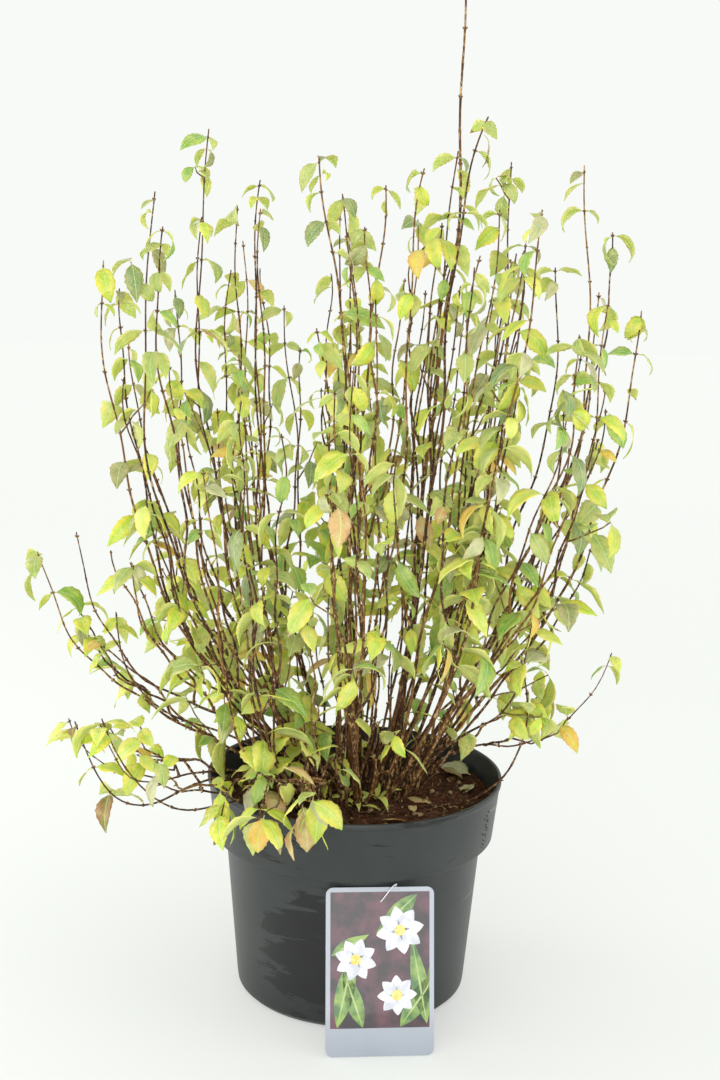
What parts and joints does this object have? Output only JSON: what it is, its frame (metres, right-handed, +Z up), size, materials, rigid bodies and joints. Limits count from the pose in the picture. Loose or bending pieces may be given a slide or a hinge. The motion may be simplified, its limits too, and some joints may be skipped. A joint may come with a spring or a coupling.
{
  "type": "mock orange shrub in a nursery pot",
  "caption": "Upright many-stemmed mock orange shrub in leaf, standing in a round black nursery pot filled with compost, with a plant card leaning on the pot.",
  "frame": {"origin": "centre of the pot's flat underside, where it stands", "axes": "+Z up along the pot's axis; -Y is the front, the side on which the plant card leans; +X is to the right seen from the front"},
  "size_m": [0.4586, 0.343, 0.73],
  "materials": {
    "pot_plastic": "black polypropylene, injection moulded, dusty satin",
    "compost": "moist fibrous peat compost, rough and dull",
    "card_plastic": "printed plastic card, satin",
    "bark": "red-brown bark, flaking on the old stems",
    "foliage": "thin green leaves, some yellow, with a soft sheen"
  },
  "bodies": {
    "root": {"pot": "pot_plastic", "compost": "compost", "plant_card": "card_plastic", "stem_leader": "bark", "foliage_leader": "foliage", "stem_left_edge": "bark", "foliage_left_edge": "foliage", "stem_left_tall": "bark", "foliage_left_tall": "foliage", "stem_left_rear": "bark", "foliage_left_rear": "foliage", "stem_left_inner": "bark", "foliage_left_inner": "foliage", "stem_front_left": "bark", "foliage_front_left": "foliage", "stem_middle_front": "bark", "foliage_middle_front": "foliage", "stem_middle_rear": "bark", "foliage_middle_rear": "foliage", "stem_right_inner": "bark", "foliage_right_inner": "foliage", "stem_right_tall": "bark", "foliage_right_tall": "foliage", "stem_front_right": "bark", "foliage_front_right": "foliage", "stem_right_outer": "bark", "foliage_right_outer": "foliage", "stem_right_edge": "bark", "foliage_right_edge": "foliage", "stem_right_front": "bark", "foliage_right_front": "foliage", "stem_right_low": "bark", "foliage_right_low": "foliage", "stem_far_left": "bark", "foliage_far_left": "foliage", "stem_far_left_front": "bark", "foliage_far_left_front": "foliage", "stem_low_left": "bark", "foliage_low_left": "foliage", "stem_low_left_front": "bark", "foliage_low_left_front": "foliage", "stem_front_middle": "bark", "foliage_front_middle": "foliage", "stem_front_low": "bark", "foliage_front_low": "foliage", "stem_rear_left": "bark", "foliage_rear_left": "foliage", "stem_rear_middle": "bark", "foliage_rear_middle": "foliage", "stem_rear_right": "bark", "foliage_rear_right": "foliage", "stem_rear_low_left": "bark", "foliage_rear_low_left": "foliage", "stem_rear_low_right": "bark", "foliage_rear_low_right": "foliage"}
  },
  "joints": []
}
